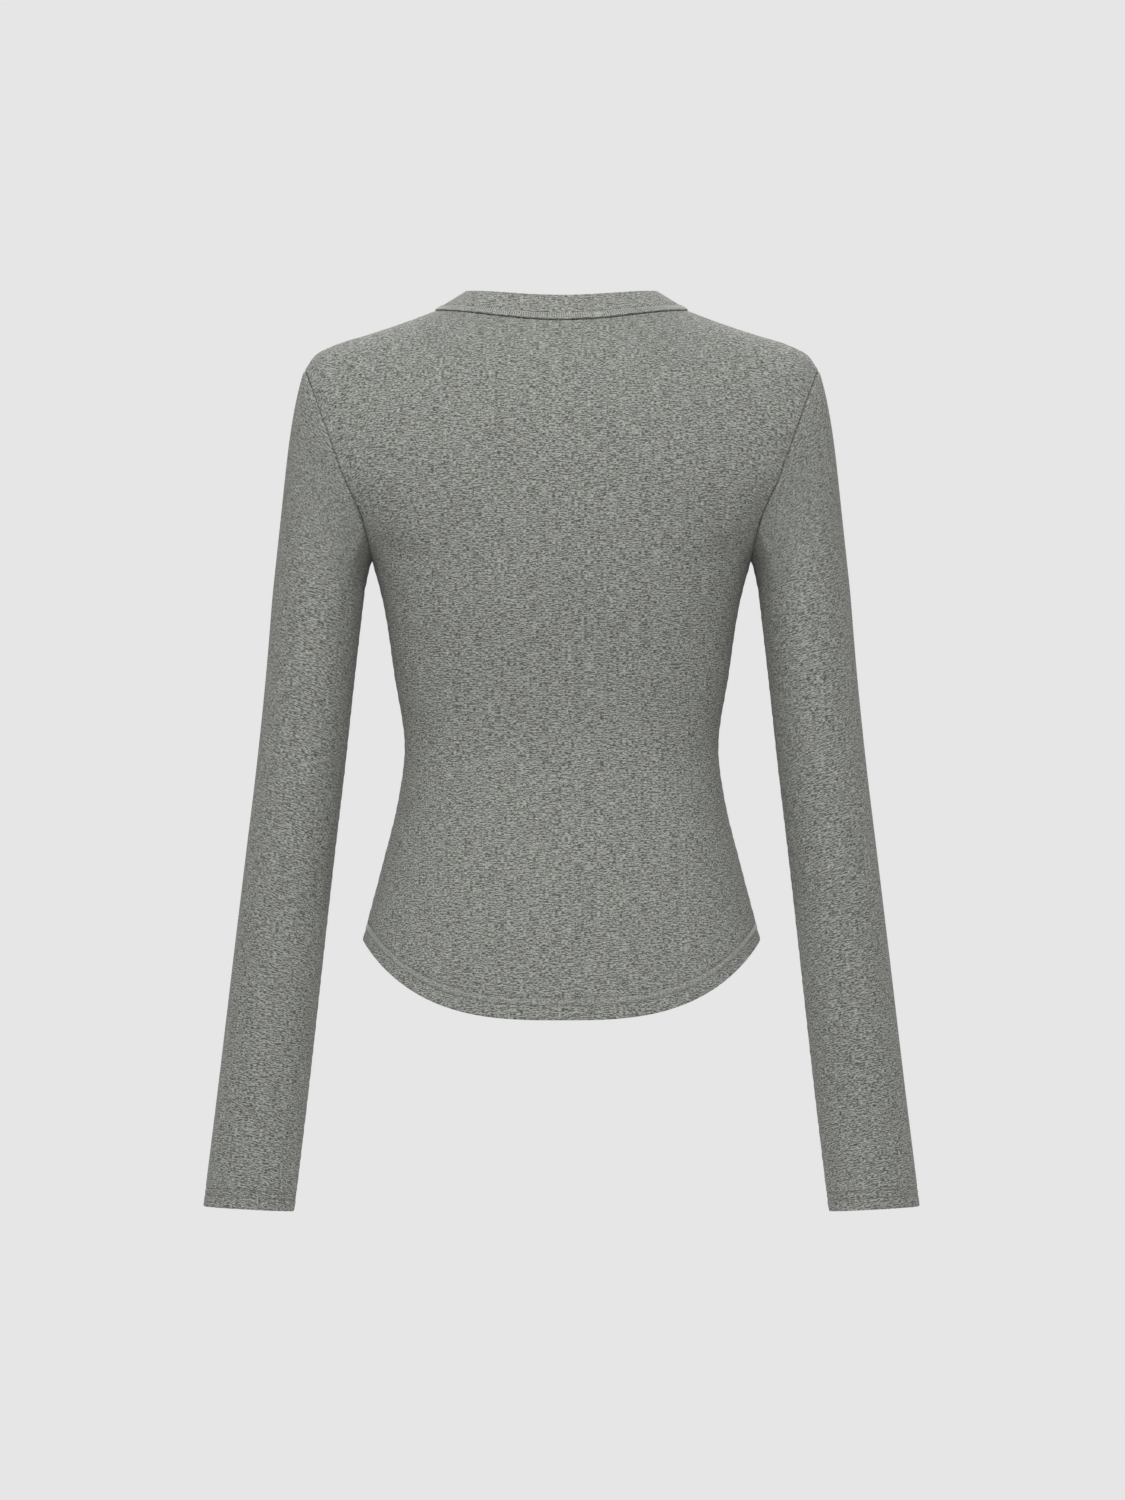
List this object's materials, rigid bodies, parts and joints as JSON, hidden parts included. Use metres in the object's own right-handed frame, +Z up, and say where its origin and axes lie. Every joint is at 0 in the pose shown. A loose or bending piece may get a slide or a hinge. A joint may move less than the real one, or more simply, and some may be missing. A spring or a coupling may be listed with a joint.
{
  "type": "crew neck cardigan",
  "caption": "Fitted long-sleeved crew neck cardigan in fine heather jersey, buttoned down the front, with a curved hem, filled out as if worn.",
  "frame": {"origin": "middle of the neck opening, level with the points where the shoulder seams meet the neckband, where the wearer's neck and shoulders hold the garment", "axes": "+Z up the wearer's body, -Y out of the front, +X to the wearer's left"},
  "size_m": [0.5168, 0.23, 0.6633],
  "materials": {
    "jersey": "heather grey cotton jersey, matt, with light and dark flecks along the courses",
    "button": "dark grey polyester, satin, with a rim and four holes"
  },
  "bodies": {
    "root": {"back": "jersey", "front_left": "jersey", "front_right": "jersey", "sleeve_left": "jersey", "sleeve_right": "jersey", "neckband": "jersey", "button_band": "jersey", "buttonhole_band": "jersey", "button_1": "button", "button_2": "button", "button_3": "button", "button_4": "button", "button_5": "button", "button_6": "button", "button_7": "button"}
  },
  "joints": []
}
